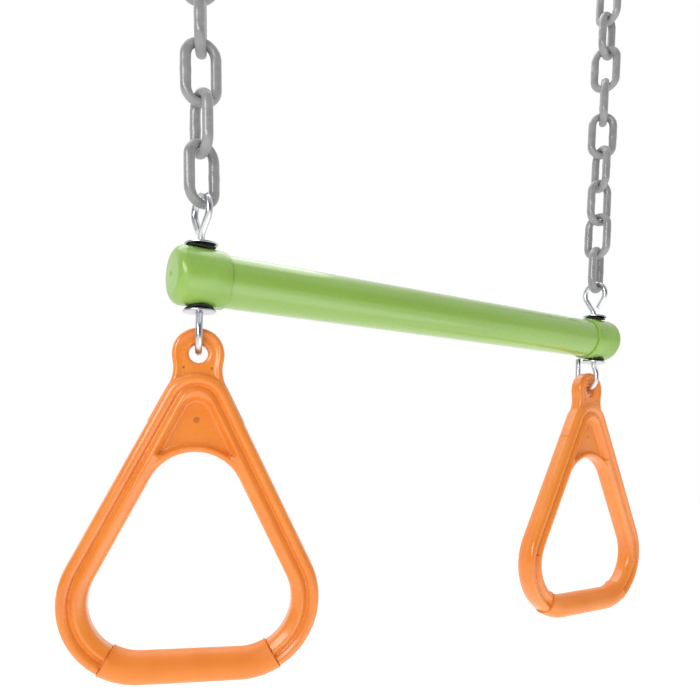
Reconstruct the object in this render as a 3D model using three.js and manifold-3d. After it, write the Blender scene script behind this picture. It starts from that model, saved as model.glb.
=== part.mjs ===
// A trapeze bar hung on two coated chains, with a triangular gym ring hooked under each end of the bar.
// Millimetres. +X runs along the bar, +Z is up. The origin is midway between the two hanging points,
// which are the insides of the tops of the two snap clips.

import * as THREE from "three";
import { mergeVertices } from "three/addons/utils/BufferGeometryUtils.js";
import Module from "manifold-3d";

const wasm = await Module();
wasm.setup();

// ---- driving dimensions ----

const CLEAR = 0.3; // gap between pieces that touch or turn on each other

const ROD_SPACING = 396; // between the two rods, along the bar
const ROD_TO_END = 19.5; // from a rod to the outer face of its end cap
const TUBE_RADIUS = 17.5;
const TUBE_WALL = 1.6;
const CAP_WALL = 1.6;
const CAP_END_WALL = 4;
const CAP_LENGTH = 35;
const CAP_CORNER = 7; // rounding of the cap's closed end
const CAP_RIM_DROP = 0.5; // the cap is this much thinner at its open rim
const CAP_RIM_TAPER = 4; // length over which it thins
const GATE_DIMPLE_RADIUS = 2.2;
const GATE_DIMPLE_DEPTH = 1;

const WIRE_RADIUS = 2.4; // the formed rods
const HOLE_RADIUS = 3.2; // through caps and tube, round a rod
const WASHER_RADIUS = 11;
const WASHER_THICKNESS = 1.2;
const PAD_RADIUS = 9.5;
const PAD_THICKNESS = 2;
const WASHER_HOLE = WIRE_RADIUS + 0.5;

const EYE_RADIUS = 10.2; // middle of the wire round the teardrop eye
const EYE_HEIGHT = 33.5; // from the top washer to the top of the eye
const EYE_NECK = 2; // straight shank above the washer
const EYE_END_GAP = 7; // the eye's cut end stops this far from the neck
const EYE_TURN = 8; // degrees that the eye is turned out of the hook's plane
const HOOK_RADIUS = 10.4; // middle of the wire round the hook's bend
const HOOK_SET = 3.4; // the hook's near leg stands this far in front of the rod
const HOOK_SET_RUN = 7.5; // length over which the wire bends out to there
const HOOK_DEPTH = 27; // from the bottom washer to the lowest point of the hook
const HOOK_NECK = 1.5;
const HOOK_TIP = 20; // height of the far leg above the middle of the bend

const LINK_COUNT = 9; // on each chain
const LINK_PITCH = 33;
const LINK_WIRE = 7.3; // with its coating, along the legs
const LINK_CROWN = 5.65; // where links bear on each other, coating pressed thin
const LINK_WIDTH = 27.2;
const LINK_CLEAR = 0.7; // play where links bear on each other
const LINK_FIRST_TURN = 18; // degrees from the bar, the lowest link
const LINK_TURN = 76.5; // degrees from one link to the next
const LINK_BEND_STEPS = 8; // flats round each end of a link
const SPLAY = 2; // degrees that each chain leans outwards

const CLIP_WIRE_RADIUS = 3.5;
const CLIP_INSIDE_LENGTH = 58;
const CLIP_TOP_RADIUS = 14.5; // middle of the wire
const CLIP_BOTTOM_RADIUS = 10.5;
const CLIP_MOUTH = 25; // opening that the gate closes
const CLIP_MOUTH_FOOT = 13; // from the inner bottom up to the mouth
const GATE_WIRE_RADIUS = 1.15;
const GATE_HOLE_RADIUS = GATE_WIRE_RADIUS + 0.4;
const GATE_STUB_END = 1.2; // the gate's ends stop this far from the clip's middle
const GATE_PIVOT_DROP = 4; // pivot below the mouth
const GATE_OVERLAP = 3.2; // the gate's end rises this far behind the nose
const GATE_BEND = 1.8; // radius of the gate wire's bends

const RING_WIDTH = 170;
const RING_HEIGHT = 235.5; // top of lug to bottom of grip
const RING_LEG = 19; // width of a leg, in the ring's plane
const RING_DEPTH = 18; // thickness of a leg, across the ring's plane
const RING_EDGE = 5.5; // rounding of the legs' edges
const RING_BEND = 43.5; // middle of the leg round the bottom corners
const RING_CROOK = 15.9; // below the hole, where the legs' outer edges would meet the lug's sides
const RING_SHOULDER = 8; // from the lug down to where the leg's edge runs straight
const RING_HANG = 1.2; // the lug's hole hangs this far below the middle of the hook's wire
const LUG_RADIUS = 17;
const LUG_NECK = 16; // half the lug's width where it meets the legs
const LUG_NECK_RISE = 6; // from the bottom of the lug's circle up to that place
const LUG_ROUND = 6; // degrees that the lug's round end runs on below its middle
const LUG_THICKNESS = 12.4;
const LUG_HOLE_RADIUS = 6.2;
const LUG_HOLE_FLARE = 2.4; // rounding of the hole's edges
const LUG_FOOT = 15; // the lug's flat faces end this far below its hole
const WEB_THICKNESS = 6;
const WEB_APEX = 30.6; // below the hole, top of the web's recess
const WEB_FOOT = 65.3; // below the hole, top of the opening
const WEB_LIP = 5; // full thickness along that edge
const WEB_RIDGE = -6; // the recess starts this far inwards of the leg's middle
const GRIP_RADIUS = 11;
const GRIP_CORE_RADIUS = 8.4;
const GRIP_CUT_RADIUS = 16; // clears the whole leg where the grip runs
const GRIP_END_GAP = 0.7; // degrees between the grip's end and the leg
const GRIP_SQUARE = 0.05; // degrees of a last short step that squares the grip's ends
const GRIP_ROOT = 4; // degrees that the core runs on into each leg
const GRIP_BEND_STEPS = 3; // flats round each corner of the grip
const GRIP_WRAP = 30.5; // degrees that the grip runs round each bottom corner
const LEFT_HOOK_TURN = -19; // degrees, how each hook and its ring stand turned from straight back
const RIGHT_HOOK_TURN = 2;

const WIRE_SIDES = 8;
const GATE_SIDES = 6;
const GRIP_SIDES = 12;
const HOLE_SIDES = 12;
const LUG_HOLE_SIDES = 20;
const ROUND_SIDES = 28;
const EYE_STEPS = 12;
const HOOK_STEPS = 9;
const CLIP_TOP_STEPS = 12;
const CLIP_BOTTOM_STEPS = 8;

// ---- derived places, from the middle of the bar ----

const degrees = THREE.MathUtils.degToRad;
const inDegrees = THREE.MathUtils.radToDeg;
const capRadius = TUBE_RADIUS + CLEAR + CAP_WALL;
const rodX = ROD_SPACING / 2;
const endX = rodX + ROD_TO_END;
const padFoot = capRadius + CLEAR;
const washerFoot = padFoot + PAD_THICKNESS + CLEAR;
const stackTop = washerFoot + WASHER_THICKNESS;
const drillLength = 3 * capRadius; // passes right through tube and caps

const eyeTop = stackTop + EYE_HEIGHT - WIRE_RADIUS;
const eyeCentre = eyeTop - EYE_RADIUS;
const linkSeat = eyeTop - WIRE_RADIUS - LINK_CLEAR; // inner bottom of the lowest link
const linkInside = LINK_PITCH + LINK_CLEAR;
const hookBottom = -stackTop - HOOK_DEPTH + WIRE_RADIUS;
const hookMiddle = HOOK_RADIUS - HOOK_SET; // the ring hangs this far behind the rod

const clipSeat = LINK_COUNT * LINK_PITCH; // inner bottom of the clip, along the chain
const chainLength = clipSeat + CLIP_INSIDE_LENGTH;
const hangHeight = linkSeat + chainLength * Math.cos(degrees(SPLAY));

// ---- materials ----

function finish(color, roughness, metalness) {
  return new THREE.MeshStandardMaterial({ color, roughness, metalness });
}

const powderCoat = () => finish("#8fb858", 0.35, 0.0);
const capVinyl = () => finish("#9cc463", 0.45, 0.0);
const zinc = () => finish("#c9ccd0", 0.25, 1.0);
const blackRubber = () => finish("#1c1c1e", 0.8, 0.0);
const chainCoating = () => finish("#8f8f90", 0.3, 0.0);
const ringPlastic = () => finish("#ef8a35", 0.4, 0.0);
const gripPlastic = () => finish("#ee8c38", 0.45, 0.0);

// ---- building helpers ----

function solidOf(geometry) {
  const bare = geometry.index ? geometry.toNonIndexed() : geometry.clone();
  bare.deleteAttribute("normal");
  bare.deleteAttribute("uv");
  const merged = mergeVertices(bare, 1e-3);
  const mesh = new wasm.Mesh({
    numProp: 3,
    vertProperties: new Float32Array(merged.attributes.position.array),
    triVerts: new Uint32Array(merged.index.array),
  });
  return new wasm.Manifold(mesh);
}

function geometryOf(solid) {
  const mesh = solid.getMesh();
  const geometry = new THREE.BufferGeometry();
  geometry.setAttribute("position", new THREE.Float32BufferAttribute(mesh.vertProperties, 3));
  geometry.setIndex(new THREE.Uint32BufferAttribute(mesh.triVerts, 1));
  return geometry;
}

function piece(name, geometry, material) {
  const mesh = new THREE.Mesh(geometry, material);
  mesh.name = name;
  return mesh;
}

function roundSection(radius, sides) {
  const points = [];
  for (let i = 0; i < sides; i++) {
    const angle = ((i + 0.5) * 2 * Math.PI) / sides;
    points.push(new THREE.Vector2(radius * Math.cos(angle), radius * Math.sin(angle)));
  }
  return new THREE.Shape(points);
}

// A path of straight runs and arcs, as a list of points that a sweep passes through.
class Route {
  constructor() {
    this.points = [];
  }
  to(x, y, z) {
    this.points.push(new THREE.Vector3(x, y, z));
    return this;
  }
  at(centreU, centreZ, radius, angle) {
    const turn = degrees(angle);
    return this.to(0, centreU + radius * Math.cos(turn), centreZ + radius * Math.sin(turn));
  }
  arc(centreU, centreZ, radius, from, to, steps) {
    for (let i = 0; i <= steps; i++) {
      this.at(centreU, centreZ, radius, from + ((to - from) * i) / steps);
    }
    return this;
  }
}

// A polyline curve whose sweep puts one section at each of its own points.
class PolylineCurve extends THREE.Curve {
  constructor(points) {
    super();
    this.points = points;
  }
  getPoint(t, target = new THREE.Vector3()) {
    const at = t * (this.points.length - 1);
    const low = Math.min(Math.floor(at), this.points.length - 2);
    return target.copy(this.points[low]).lerp(this.points[low + 1], at - low);
  }
  getPointAt(u, target) {
    return this.getPoint(u, target);
  }
  getTangent(t, target = new THREE.Vector3()) {
    const last = this.points.length - 1;
    const near = Math.round(t * last);
    const before = this.points[Math.max(near - 1, 0)];
    const after = this.points[Math.min(near + 1, last)];
    return target.copy(after).sub(before).normalize();
  }
  getTangentAt(u, target) {
    return this.getTangent(u, target);
  }
}

function sweep(points, shape) {
  const extrudePath = new PolylineCurve(points);
  return new THREE.ExtrudeGeometry(shape, { extrudePath, steps: points.length - 1 });
}

// The cutter for a rod's hole, down through the bar at one of its ends.
function rodDrill(side) {
  const drill = new THREE.CylinderGeometry(HOLE_RADIUS, HOLE_RADIUS, drillLength, HOLE_SIDES);
  return solidOf(drill.rotateX(Math.PI / 2).translate(side * rodX, 0, 0));
}

// ---- the bar: tube and end caps ----

function barTube() {
  const halfLength = endX - CAP_END_WALL - CLEAR;
  const inner = TUBE_RADIUS - TUBE_WALL;
  const profile = [
    new THREE.Vector2(inner, -halfLength),
    new THREE.Vector2(TUBE_RADIUS, -halfLength),
    new THREE.Vector2(TUBE_RADIUS, halfLength),
    new THREE.Vector2(inner, halfLength),
    new THREE.Vector2(inner, -halfLength),
  ];
  const tube = solidOf(new THREE.LatheGeometry(profile, ROUND_SIDES).rotateZ(-Math.PI / 2));
  return geometryOf(tube.subtract(rodDrill(-1)).subtract(rodDrill(1)));
}

function endCap(side) {
  const rim = CAP_LENGTH;
  const inside = TUBE_RADIUS + CLEAR;
  const outline = new THREE.Path();
  outline.moveTo(0, 0);
  outline.lineTo(capRadius - CAP_CORNER, 0);
  outline.absarc(capRadius - CAP_CORNER, CAP_CORNER, CAP_CORNER, -Math.PI / 2, 0, false);
  outline.lineTo(capRadius, rim - CAP_RIM_TAPER);
  outline.lineTo(capRadius - CAP_RIM_DROP, rim);
  outline.lineTo(inside, rim);
  outline.lineTo(inside, CAP_END_WALL);
  outline.lineTo(0, CAP_END_WALL);
  const lathe = new THREE.LatheGeometry(outline.getPoints(5), ROUND_SIDES);
  lathe.rotateZ(side > 0 ? Math.PI / 2 : -Math.PI / 2).translate(side * endX, 0, 0);
  const dimple = new THREE.SphereGeometry(GATE_DIMPLE_RADIUS, HOLE_SIDES, WIRE_SIDES);
  dimple.translate(side * (endX + GATE_DIMPLE_RADIUS - GATE_DIMPLE_DEPTH), 0, 0);
  return geometryOf(solidOf(lathe).subtract(rodDrill(side)).subtract(solidOf(dimple)));
}

// ---- washers and rubber pads on the rods ----

function flatRing(outer, hole, thickness) {
  const shape = new THREE.Shape().absarc(0, 0, outer, 0, 2 * Math.PI, false);
  shape.holes.push(new THREE.Path().absarc(0, 0, hole, 0, 2 * Math.PI, true));
  return new THREE.ExtrudeGeometry(shape, { depth: thickness, bevelEnabled: false });
}

// The pad and the washer above the bar (up is 1) or below it (up is -1).
function stackPieces(label, side, up) {
  const where = up > 0 ? "top" : "bottom";
  const padShape = flatRing(PAD_RADIUS, WASHER_HOLE, PAD_THICKNESS);
  const pad = piece(`${label}_${where}_pad`, padShape, blackRubber());
  pad.position.set(side * rodX, 0, up > 0 ? padFoot : -padFoot - PAD_THICKNESS);
  const washerShape = flatRing(WASHER_RADIUS, WASHER_HOLE, WASHER_THICKNESS);
  const washer = piece(`${label}_${where}_washer`, washerShape, zinc());
  washer.position.set(side * rodX, 0, up > 0 ? washerFoot : -stackTop);
  return [pad, washer];
}

// ---- the formed wire rods: eye above, hook below ----

// The wire runs from the cut end of the eye, round the eye, down through the bar and round the hook.
// back is +1 where the cut end stands behind the shank, and -1 where it stands in front.
function formedRod(back, hookTurn) {
  const neckTop = stackTop + EYE_NECK;
  const lean = Math.asin(EYE_RADIUS / (eyeCentre - neckTop));
  const leanDegrees = inDegrees(lean);
  const eye = new Route();
  eye.to(0, EYE_END_GAP * Math.sin(lean), neckTop + EYE_END_GAP * Math.cos(lean));
  eye.arc(0, eyeCentre, EYE_RADIUS, -leanDegrees, 180 + leanDegrees, EYE_STEPS);
  const upright = new THREE.Vector3(0, 0, 1);
  const eyePoints = eye.points.map((p) => {
    return new THREE.Vector3(0, back * p.y, p.z).applyAxisAngle(upright, degrees(EYE_TURN));
  });
  const hook = new Route();
  hook.to(0, 0, neckTop).to(0, 0, 0).to(0, 0, -stackTop - HOOK_NECK);
  hook.to(0, -HOOK_SET, -stackTop - HOOK_NECK - HOOK_SET_RUN);
  hook.arc(hookMiddle, hookBottom + HOOK_RADIUS, HOOK_RADIUS, 180, 360, HOOK_STEPS);
  hook.to(0, hookMiddle + HOOK_RADIUS, hookBottom + HOOK_RADIUS + HOOK_TIP);
  const hookPoints = hook.points.map((p) => p.applyAxisAngle(upright, degrees(hookTurn)));
  return sweep([...eyePoints, ...hookPoints], roundSection(WIRE_RADIUS, WIRE_SIDES));
}

// ---- chain links ----

// A closed loop through a list of points, one sweep section at each.
class ClosedLoop extends PolylineCurve {
  constructor(points) {
    super([...points, points[0]]);
  }
  getTangent(t, target = new THREE.Vector3()) {
    const count = this.points.length - 1;
    const near = Math.round(t * count) % count;
    const before = this.points[(near + count - 1) % count];
    const after = this.points[near + 1];
    return target.copy(after).sub(before).normalize();
  }
}

function chainLink() {
  const bend = (LINK_WIDTH - LINK_WIRE) / 2;
  const straight = (linkInside + LINK_CROWN) / 2 - bend;
  const points = [];
  for (const [end, from] of [[1, 0], [-1, 180]]) {
    for (let i = 0; i <= LINK_BEND_STEPS; i++) {
      const angle = degrees(from + (180 * i) / LINK_BEND_STEPS);
      points.push(new THREE.Vector3(bend * Math.cos(angle), 0, end * straight + bend * Math.sin(angle)));
    }
  }
  const loop = new ClosedLoop(points);
  const link = new THREE.TubeGeometry(loop, points.length, LINK_WIRE / 2, WIRE_SIDES, true);
  const place = link.attributes.position;
  const vertex = new THREE.Vector3();
  for (let i = 0; i < place.count; i++) {
    const centre = points[Math.floor(i / (WIRE_SIDES + 1)) % points.length];
    const crownShare = Math.max(0, Math.abs(centre.z) - straight) / bend;
    const thin = 1 - (1 - LINK_CROWN / LINK_WIRE) * crownShare ** 2;
    vertex.fromBufferAttribute(place, i).sub(centre);
    place.setXYZ(i, centre.x + thin * vertex.x, vertex.y, centre.z + thin * vertex.z);
  }
  return link;
}

// ---- snap clips ----

// Places on a clip, across (u) and up (z) from the inner bottom of its lower bend.
const clipBottomMiddle = CLIP_BOTTOM_RADIUS - CLIP_WIRE_RADIUS;
const clipTopMiddle = CLIP_INSIDE_LENGTH + CLIP_WIRE_RADIUS - CLIP_TOP_RADIUS;
const clipFlare = Math.asin((CLIP_TOP_RADIUS - CLIP_BOTTOM_RADIUS) / (clipTopMiddle - clipBottomMiddle));

// How far the middle of the clip's side stands out at height z.
function clipSide(z) {
  const foot = clipBottomMiddle - CLIP_BOTTOM_RADIUS * Math.sin(clipFlare);
  return CLIP_BOTTOM_RADIUS * Math.cos(clipFlare) + (z - foot) * Math.tan(clipFlare);
}

const gatePivotHeight = CLIP_MOUTH_FOOT - GATE_PIVOT_DROP;

function clipBody(side) {
  const flare = inDegrees(clipFlare);
  const nose = CLIP_MOUTH_FOOT + CLIP_MOUTH;
  const route = new Route();
  route.to(0, clipSide(nose), nose);
  route.arc(0, clipTopMiddle, CLIP_TOP_RADIUS, -flare, 180 + flare, CLIP_TOP_STEPS);
  route.arc(0, clipBottomMiddle, CLIP_BOTTOM_RADIUS, 180 + flare, 360 - flare, CLIP_BOTTOM_STEPS);
  route.to(0, clipSide(CLIP_MOUTH_FOOT), CLIP_MOUTH_FOOT);
  const points = route.points.map((p) => new THREE.Vector3(side * p.y, 0, p.z));
  const body = solidOf(sweep(points, roundSection(CLIP_WIRE_RADIUS, WIRE_SIDES)));
  const drillDepth = 4 * CLIP_WIRE_RADIUS;
  const drill = new THREE.CylinderGeometry(GATE_HOLE_RADIUS, GATE_HOLE_RADIUS, drillDepth, WIRE_SIDES);
  drill.translate(side * clipSide(gatePivotHeight), 0, gatePivotHeight);
  return geometryOf(body.subtract(solidOf(drill)));
}

// The gate is one bent wire: a stub in each side of the clip, two legs, and a bow behind the clip's nose.
function clipGate(side) {
  const straddle = CLIP_WIRE_RADIUS + CLEAR + GATE_WIRE_RADIUS;
  const end = CLIP_MOUTH_FOOT + CLIP_MOUTH + GATE_OVERLAP;
  const foot = clipSide(gatePivotHeight);
  const head = clipSide(end) - straddle - CLEAR;
  const rise = end - gatePivotHeight;
  const turnIn = GATE_BEND * (1 - Math.SQRT1_2); // how far a bend's middle lies inside its corner
  const half = [
    [GATE_STUB_END, 0],
    [straddle - GATE_BEND, 0],
    [straddle - turnIn, turnIn],
    [straddle, GATE_BEND],
    [straddle, rise - GATE_BEND],
    [straddle - turnIn, rise - turnIn],
    [straddle - GATE_BEND, rise],
  ];
  const legs = [...half, ...half.slice().reverse().map(([y, z]) => [-y, z])];
  const points = legs.map(([y, z]) => {
    const across = foot + ((head - foot) * z) / rise;
    return new THREE.Vector3(side * across, y, gatePivotHeight + z);
  });
  return sweep(points, roundSection(GATE_WIRE_RADIUS, GATE_SIDES));
}

// ---- gym rings ----

// Places on a ring, across (u) and up (z) from the middle of its lug's hole.
const ringLegHalf = RING_LEG / 2;
const bendX = RING_WIDTH / 2 - ringLegHalf - RING_BEND;
const gripZ = -(RING_HEIGHT - LUG_RADIUS - GRIP_RADIUS);
const bendZ = gripZ + RING_BEND;

// The legs' angle from the ring's middle line: their outer edges run straight from corner to lug.
const crookAcross = LUG_NECK - bendX;
const crookUp = -RING_CROOK - bendZ;
const crookReach = Math.hypot(crookAcross, crookUp);
const legAngle = Math.atan2(crookUp, crookAcross) - Math.acos((RING_BEND + ringLegHalf) / crookReach);
const legSlope = Math.tan(legAngle);

// How far a line along the leg stands out at height z, offset outwards from the leg's middle.
function legSide(z, offset) {
  const radius = RING_BEND + offset;
  const x = bendX + radius * Math.cos(legAngle);
  const foot = bendZ + radius * Math.sin(legAngle);
  return x - (z - foot) * legSlope;
}

// How high the same line stands at a distance x from the ring's middle.
function legHeight(x, offset) {
  return (legSide(0, offset) - x) / legSlope;
}

// The circle that rounds off the place where both legs' lines would meet, its top at a given height.
function legArch(top, offset) {
  const sine = Math.sin(legAngle);
  const radius = ((legHeight(0, offset) - top) * sine) / (1 - sine);
  return { radius, middle: top - radius };
}

function ringOutline() {
  const outer = RING_BEND + ringLegHalf;
  const inner = RING_BEND - ringLegHalf;
  const shoulder = -(LUG_RADIUS + RING_SHOULDER);
  const neck = LUG_NECK_RISE - LUG_RADIUS;
  const crook = legHeight(LUG_NECK, ringLegHalf);
  const shape = new THREE.Shape();
  shape.moveTo(-bendX, bendZ - outer);
  shape.lineTo(bendX, bendZ - outer);
  shape.absarc(bendX, bendZ, outer, -Math.PI / 2, legAngle, false);
  shape.lineTo(legSide(shoulder, ringLegHalf), shoulder);
  shape.quadraticCurveTo(LUG_NECK, crook, LUG_NECK, neck);
  shape.absarc(0, 0, LUG_RADIUS, -degrees(LUG_ROUND), Math.PI + degrees(LUG_ROUND), false);
  shape.lineTo(-LUG_NECK, neck);
  shape.quadraticCurveTo(-LUG_NECK, crook, -legSide(shoulder, ringLegHalf), shoulder);
  shape.absarc(-bendX, bendZ, outer, Math.PI - legAngle, 1.5 * Math.PI, false);

  const arch = legArch(-WEB_FOOT, -ringLegHalf);
  const opening = new THREE.Path();
  opening.moveTo(-bendX, bendZ - inner);
  opening.absarc(-bendX, bendZ, inner, 1.5 * Math.PI, Math.PI - legAngle, true);
  opening.absarc(0, arch.middle, arch.radius, Math.PI - legAngle, legAngle, true);
  opening.absarc(bendX, bendZ, inner, legAngle, -Math.PI / 2, true);
  shape.holes.push(opening);
  return shape;
}

// The route along the bottom of the ring and round part of each corner, a little longer than the grip
// by the given number of degrees at each end.
function gripRoute(extra) {
  const route = new Route();
  route.at(-bendX, bendZ, RING_BEND, 270 - GRIP_WRAP - extra);
  route.arc(-bendX, bendZ, RING_BEND, 270 - GRIP_WRAP, 270, GRIP_BEND_STEPS);
  route.arc(bendX, bendZ, RING_BEND, 270, 270 + GRIP_WRAP, GRIP_BEND_STEPS);
  route.at(bendX, bendZ, RING_BEND, 270 + GRIP_WRAP + extra);
  return route.points.map((p) => new THREE.Vector3(p.y, 0, p.z));
}

// A slab on both faces of the ring, beyond a given thickness, to be cut away.
function faceCut(shape, thickness) {
  const slab = new THREE.ExtrudeGeometry(shape, { depth: RING_DEPTH, bevelEnabled: false });
  const front = solidOf(slab.clone().rotateX(Math.PI / 2).translate(0, -thickness / 2, 0));
  const back = solidOf(slab.clone().rotateX(Math.PI / 2).translate(0, thickness / 2 + RING_DEPTH, 0));
  return front.add(back);
}

function lugFaces() {
  const wide = 2 * LUG_RADIUS;
  const shape = new THREE.Shape();
  shape.moveTo(-wide, -LUG_FOOT).lineTo(wide, -LUG_FOOT).lineTo(wide, wide).lineTo(-wide, wide);
  return faceCut(shape, LUG_THICKNESS);
}

function webRecess() {
  const foot = -(WEB_FOOT - WEB_LIP);
  const half = legSide(foot, WEB_RIDGE);
  const arch = legArch(-WEB_APEX, WEB_RIDGE);
  const shape = new THREE.Shape();
  shape.moveTo(-half, foot).lineTo(half, foot);
  shape.absarc(0, arch.middle, arch.radius, legAngle, Math.PI - legAngle, false);
  return faceCut(shape, WEB_THICKNESS);
}

function lugHole() {
  const half = LUG_THICKNESS / 2;
  const beyond = RING_DEPTH / 2;
  const flared = LUG_HOLE_RADIUS + LUG_HOLE_FLARE;
  const profile = [
    [0, -beyond],
    [flared, -beyond],
    [flared, -half],
    [LUG_HOLE_RADIUS, -half + LUG_HOLE_FLARE],
    [LUG_HOLE_RADIUS, half - LUG_HOLE_FLARE],
    [flared, half],
    [flared, beyond],
    [0, beyond],
  ].map(([radius, y]) => new THREE.Vector2(radius, y));
  return solidOf(new THREE.LatheGeometry(profile, LUG_HOLE_SIDES));
}

function gymRing() {
  const flat = RING_DEPTH - 2 * RING_EDGE;
  const plate = new THREE.ExtrudeGeometry(ringOutline(), {
    depth: flat,
    bevelThickness: RING_EDGE,
    bevelSize: RING_EDGE,
    bevelOffset: -RING_EDGE,
    bevelSegments: 2,
    curveSegments: 8,
  });
  plate.rotateX(Math.PI / 2).translate(0, flat / 2, 0);
  const gripCut = sweep(gripRoute(GRIP_END_GAP), roundSection(GRIP_CUT_RADIUS, GRIP_SIDES));
  const core = sweep(gripRoute(GRIP_ROOT), roundSection(GRIP_CORE_RADIUS, GRIP_SIDES));
  let ring = solidOf(plate).subtract(lugFaces()).subtract(webRecess()).subtract(lugHole());
  ring = ring.subtract(solidOf(gripCut)).add(solidOf(core));
  return geometryOf(ring);
}

function ringGrip() {
  const shape = roundSection(GRIP_RADIUS, GRIP_SIDES);
  const bore = roundSection(GRIP_CORE_RADIUS + CLEAR, GRIP_SIDES);
  shape.holes.push(new THREE.Path(bore.getPoints().reverse()));
  return sweep(gripRoute(GRIP_SQUARE), shape);
}

// ---- assembly ----

const swing = new THREE.Group();
swing.name = "ring_trapeze";
const barGroup = new THREE.Group();
barGroup.position.z = -hangHeight;
swing.add(barGroup);

barGroup.add(piece("bar_tube", barTube(), powderCoat()));

const ends = [
  { label: "left", side: -1, eyeEnd: 1, hookTurn: LEFT_HOOK_TURN },
  { label: "right", side: 1, eyeEnd: -1, hookTurn: RIGHT_HOOK_TURN },
];
for (const { label, side, eyeEnd, hookTurn } of ends) {
  barGroup.add(piece(`${label}_end_cap`, endCap(side), capVinyl()));
  barGroup.add(...stackPieces(label, side, 1), ...stackPieces(label, side, -1));

  const rod = piece(`${label}_rod`, formedRod(eyeEnd, hookTurn), zinc());
  rod.position.x = side * rodX;
  barGroup.add(rod);

  const ringGroup = new THREE.Group();
  const turn = degrees(hookTurn);
  const ringX = side * rodX - hookMiddle * Math.sin(turn);
  ringGroup.position.set(ringX, hookMiddle * Math.cos(turn), hookBottom - RING_HANG);
  ringGroup.rotation.z = turn;
  ringGroup.add(piece(`${label}_ring`, gymRing(), ringPlastic()));
  ringGroup.add(piece(`${label}_ring_grip`, ringGrip(), gripPlastic()));
  barGroup.add(ringGroup);

  const chain = new THREE.Group();
  chain.position.set(side * rodX, 0, linkSeat);
  chain.rotation.y = side * degrees(SPLAY);
  for (let i = 0; i < LINK_COUNT; i++) {
    const link = piece(`${label}_link_${i + 1}`, chainLink(), chainCoating());
    link.position.z = i * LINK_PITCH + linkInside / 2;
    link.rotation.z = degrees(LINK_FIRST_TURN + i * LINK_TURN);
    chain.add(link);
  }
  const clip = new THREE.Group();
  clip.position.z = clipSeat;
  clip.add(piece(`${label}_clip`, clipBody(side), zinc()));
  clip.add(piece(`${label}_clip_gate`, clipGate(side), zinc()));
  chain.add(clip);
  barGroup.add(chain);
}

export default swing;
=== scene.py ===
import math

import bmesh
import bpy
import numpy as np
from mathutils import Matrix, Vector


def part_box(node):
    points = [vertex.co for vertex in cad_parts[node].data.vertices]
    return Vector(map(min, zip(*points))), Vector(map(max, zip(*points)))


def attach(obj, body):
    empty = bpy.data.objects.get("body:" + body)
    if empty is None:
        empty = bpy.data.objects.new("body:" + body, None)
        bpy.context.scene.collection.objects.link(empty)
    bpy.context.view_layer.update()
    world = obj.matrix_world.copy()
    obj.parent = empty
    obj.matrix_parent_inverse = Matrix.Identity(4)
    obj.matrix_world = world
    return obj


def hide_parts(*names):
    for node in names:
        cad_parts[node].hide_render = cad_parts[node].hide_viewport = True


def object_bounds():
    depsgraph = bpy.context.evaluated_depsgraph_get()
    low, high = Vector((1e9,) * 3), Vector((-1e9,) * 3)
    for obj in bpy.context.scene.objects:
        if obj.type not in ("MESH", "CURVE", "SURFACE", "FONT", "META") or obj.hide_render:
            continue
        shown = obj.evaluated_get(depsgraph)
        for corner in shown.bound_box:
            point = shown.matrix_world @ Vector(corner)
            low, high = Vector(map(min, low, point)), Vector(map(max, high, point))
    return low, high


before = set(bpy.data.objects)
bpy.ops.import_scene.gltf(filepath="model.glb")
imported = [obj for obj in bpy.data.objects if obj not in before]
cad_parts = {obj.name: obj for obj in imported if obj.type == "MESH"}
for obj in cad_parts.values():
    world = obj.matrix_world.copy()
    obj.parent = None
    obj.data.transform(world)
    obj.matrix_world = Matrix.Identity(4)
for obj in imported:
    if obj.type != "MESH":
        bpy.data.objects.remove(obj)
cad_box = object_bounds()
MM = 0.001


# ---- where the swing hangs, and the eye that looks at it ----
# The bar hangs level on its two chains, and is seen from in front of its left end, a little below it.
# Everything else is placed from the middle of the bar.

def middle_of(node):
    low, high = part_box(node)
    return (low + high) / 2


bar_middle = middle_of("bar_tube")

EYE_OFFSET = Vector((-0.339, -0.417, -0.105))
EYE_HEADING = math.radians(58.4)  # from the bar's own direction
EYE_ROLL = math.radians(1.4)
LENS = 33.6
LENS_RISE = 0.131
LENS_ASIDE = 0.0055

camera = bpy.data.objects.new("camera", bpy.data.cameras.new("camera"))
camera.data.lens = LENS
camera.data.sensor_width = 36
camera.data.shift_x = LENS_ASIDE
camera.data.shift_y = LENS_RISE
camera.data.clip_start = 0.02
forward = Vector((math.cos(EYE_HEADING), math.sin(EYE_HEADING), 0))
level = Vector((math.sin(EYE_HEADING), -math.cos(EYE_HEADING), 0))
right = level * math.cos(EYE_ROLL) + Vector((0, 0, 1)) * math.sin(EYE_ROLL)
upward = right.cross(forward)
camera.matrix_world = Matrix((
    (right.x, upward.x, -forward.x, bar_middle.x + EYE_OFFSET.x),
    (right.y, upward.y, -forward.y, bar_middle.y + EYE_OFFSET.y),
    (right.z, upward.z, -forward.z, bar_middle.z + EYE_OFFSET.z),
    (0, 0, 0, 1),
))
bpy.context.scene.collection.objects.link(camera)
bpy.context.scene.camera = camera


# ---- the studio ----
# A pale seamless floor far below the swing, a white room, and three soft lamps: above, to the left, and
# low in front. The room is darker in front, which gives round pieces a darker band along their middles.

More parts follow.
